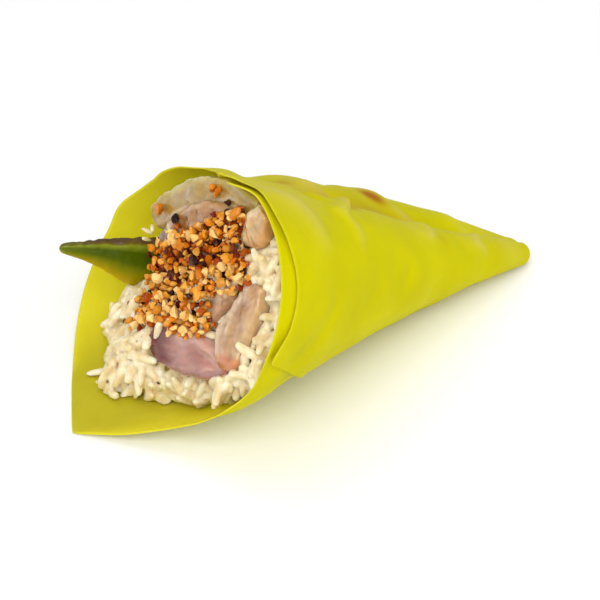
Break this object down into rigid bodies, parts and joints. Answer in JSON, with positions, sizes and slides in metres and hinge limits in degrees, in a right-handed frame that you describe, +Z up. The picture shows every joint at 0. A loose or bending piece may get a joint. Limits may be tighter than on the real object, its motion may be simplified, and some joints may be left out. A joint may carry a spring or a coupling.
{
  "type": "temaki hand roll",
  "caption": "Cone-shaped hand roll lying on its side: bright soy paper round rice, raw fish slices, avocado and toasted crumbs.",
  "frame": {"origin": "bottom centre of the bounding box, on the surface the roll lies on", "axes": "+X along the roll towards its pointed tip, -X out of the mouth, -Y the side with the sheet's outer layer, +Z up"},
  "size_m": [0.1352, 0.0844, 0.0647],
  "materials": {
    "soy_paper": "thin bright yellow-green soy paper, satin, slightly wrinkled",
    "cooked_rice": "moist cooked rice grains",
    "raw_fish": "moist translucent raw white fish with purple-pink dark meat",
    "avocado": "soft green flesh with a brown-green outer side",
    "toasted_crumbs": "toasted crumbs from cream to dark brown"
  },
  "bodies": {
    "root": {"wrap": "soy_paper", "rice": "cooked_rice", "fish_1": "raw_fish", "fish_2": "raw_fish", "fish_3": "raw_fish", "fish_4": "raw_fish", "fish_5": "raw_fish", "fish_6": "raw_fish", "fish_7": "raw_fish", "fish_8": "raw_fish", "avocado": "avocado", "crumble": "toasted_crumbs"}
  },
  "joints": []
}
